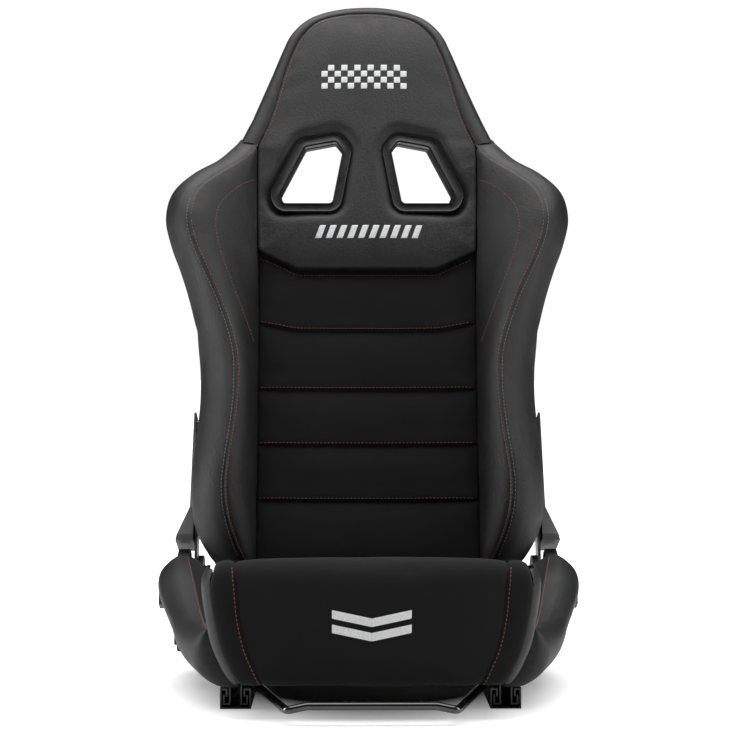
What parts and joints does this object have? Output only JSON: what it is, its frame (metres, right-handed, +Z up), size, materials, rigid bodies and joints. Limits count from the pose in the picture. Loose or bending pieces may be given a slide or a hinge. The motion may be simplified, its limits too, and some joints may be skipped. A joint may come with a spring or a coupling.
{
  "type": "racing seat",
  "caption": "Reclining sport seat with winged head and shoulder bolsters, harness slots, thigh wings, a lever recliner each side and a slide release bar on twin rails.",
  "frame": {"origin": "centre of the four floor bolts, on the underside of the lower rails", "axes": "+Z up, -Y the way the seat faces, +X to the right of a viewer who looks at its front"},
  "size_m": [0.5666, 0.7908, 0.949],
  "materials": {
    "rail_steel": "satin black electrophoretic coat",
    "zinc_steel": "dull zinc plating",
    "black_paint": "gloss black powder coat",
    "spring_steel": "oiled spring wire",
    "ball_steel": "polished",
    "cage_nylon": "moulded nylon",
    "suede": "short nap synthetic suede",
    "pu_leather": "fine grain, slight gloss",
    "shell_cover": "fine grain synthetic leather over the rear shell",
    "black_plastic": "fine moulded texture"
  },
  "bodies": {
    "floor_rails": {"lower_rail_left": "rail_steel", "lower_rail_right": "rail_steel"},
    "ball_cages": {"ball_cage_left": "cage_nylon", "ball_cage_right": "cage_nylon", "rail_balls_left": "ball_steel", "rail_balls_right": "ball_steel"},
    "seat_base": {"upper_rail_left": "rail_steel", "upper_rail_right": "rail_steel", "base_frame": "black_paint", "rail_bolts": "zinc_steel", "seat_springs": "spring_steel", "front_pan": "black_paint", "cushion_center": "suede", "cushion_front_roll": "suede", "cushion_wing_left": "pu_leather", "cushion_wing_right": "pu_leather", "base_plate_left": "zinc_steel", "base_plate_right": "zinc_steel", "base_plate_bolts": "zinc_steel", "hinge_cover_left": "black_plastic", "hinge_cover_right": "black_plastic", "pivot_cap_left": "black_plastic", "pivot_cap_right": "black_plastic", "pivot_pin_left": "zinc_steel", "pivot_pin_right": "zinc_steel", "recliner_spring_left": "spring_steel", "recliner_spring_right": "spring_steel", "cover_screws": "zinc_steel", "latch_spring_left": "spring_steel", "latch_spring_right": "spring_steel"},
    "slide_release": {"release_bar": "black_paint", "latch_plate_left": "zinc_steel", "latch_plate_right": "zinc_steel"},
    "backrest": {"back_frame": "black_paint", "arm_bolts": "zinc_steel", "back_springs": "spring_steel", "recliner_arm_left": "zinc_steel", "recliner_arm_right": "zinc_steel", "back_pad": "suede", "head_pad": "pu_leather", "back_bolster_left": "pu_leather", "back_bolster_right": "pu_leather", "back_shell": "shell_cover", "harness_bezel_front_left": "black_plastic", "harness_bezel_front_right": "black_plastic", "harness_bezel_rear_left": "black_plastic", "harness_bezel_rear_right": "black_plastic", "arm_cover_left": "black_plastic", "arm_cover_right": "black_plastic"},
    "recliner_release": {"release_rod": "zinc_steel", "recliner_lever_left": "zinc_steel", "recliner_lever_right": "zinc_steel", "lever_grip_left": "black_plastic", "lever_grip_right": "black_plastic"},
    "pawl_left": {"recliner_pawl_left": "zinc_steel"},
    "pawl_right": {"recliner_pawl_right": "zinc_steel"}
  },
  "joints": [
    {"name": "seat_slide", "type": "slide", "parent": "floor_rails", "child": "seat_base", "axis": [0, 1, 0], "range_m": [-0.085, 0.1]},
    {"name": "ball_cage_slide", "type": "slide", "parent": "floor_rails", "child": "ball_cages", "axis": [0, 1, 0], "range_m": [-0.0425, 0.05]},
    {"name": "slide_release", "type": "hinge", "parent": "seat_base", "child": "slide_release", "pos_m": [0, -0.06, 0.0295], "axis": [-1, 0, 0], "range_deg": [0, 3.2], "stiffness_Nm_per_rad": 60, "springref_deg": -3.44, "deforming": ["latch_spring_left", "latch_spring_right"]},
    {"name": "recline", "type": "hinge", "parent": "seat_base", "child": "backrest", "pos_m": [0, 0.16, 0.118], "axis": [-1, 0, 0], "range_deg": [-25, 65], "deforming": ["recliner_spring_left", "recliner_spring_right"]},
    {"name": "recliner_release", "type": "hinge", "parent": "seat_base", "child": "recliner_release", "pos_m": [0, 0.128, 0.084], "axis": [-1, 0, 0], "range_deg": [0, 14], "stiffness_Nm_per_rad": 2, "springref_deg": -5.73},
    {"name": "pawl_left_turn", "type": "hinge", "parent": "seat_base", "child": "pawl_left", "pos_m": [0, 0.104, 0.096], "axis": [1, 0, 0], "range_deg": [0, 21]},
    {"name": "pawl_right_turn", "type": "hinge", "parent": "seat_base", "child": "pawl_right", "pos_m": [0, 0.104, 0.096], "axis": [1, 0, 0], "range_deg": [0, 21]}
  ],
  "couplings": [
    {"joint": "ball_cage_slide", "follows": "seat_slide", "ratio": 0.5},
    {"joint": "pawl_left_turn", "follows": "recliner_release", "ratio": 1.5},
    {"joint": "pawl_right_turn", "follows": "recliner_release", "ratio": 1.5}
  ]
}
